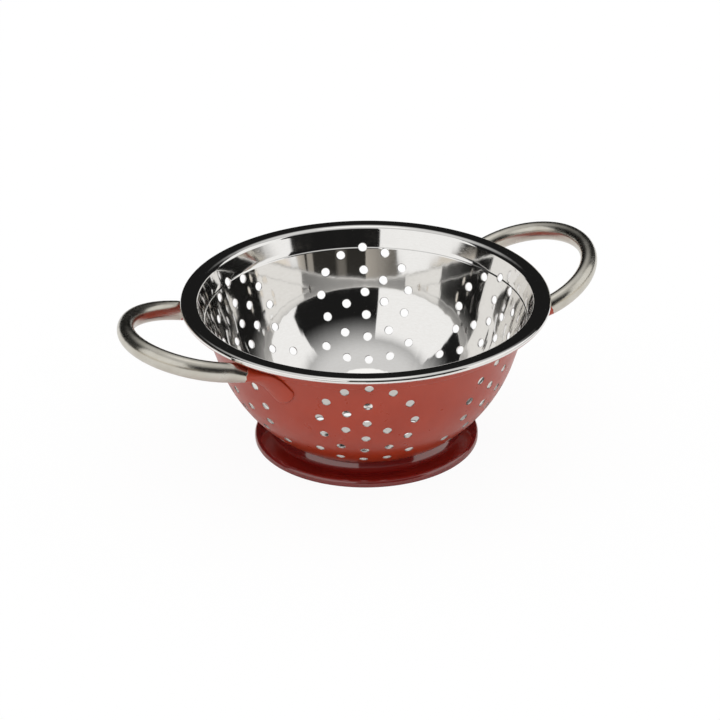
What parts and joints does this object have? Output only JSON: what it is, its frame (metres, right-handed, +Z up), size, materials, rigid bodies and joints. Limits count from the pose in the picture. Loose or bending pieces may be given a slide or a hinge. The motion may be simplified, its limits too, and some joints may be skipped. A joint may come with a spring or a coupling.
{
  "type": "colander",
  "caption": "Round perforated steel colander on a low flared foot ring, with two looped tube handles; it drains what is tipped into its bowl.",
  "frame": {"origin": "on the bowl's axis, in the plane of the foot ring's lower edge that the colander stands on", "axes": "+Z up along the bowl's axis, +X towards the right-hand handle, +Y away from the pictured side"},
  "size_m": [0.3045, 0.221, 0.105],
  "materials": {
    "bowl": "satin red enamel outside, mirror-polished bare steel inside and on the rim",
    "foot_ring": "glossy dark red enamel",
    "handle_right": "polished bare steel, its welded ends enamelled red",
    "handle_left": "polished bare steel, its welded ends enamelled red"
  },
  "bodies": {
    "root": {"bowl": "bowl", "foot_ring": "foot_ring", "handle_right": "handle_right", "handle_left": "handle_left"}
  },
  "joints": []
}
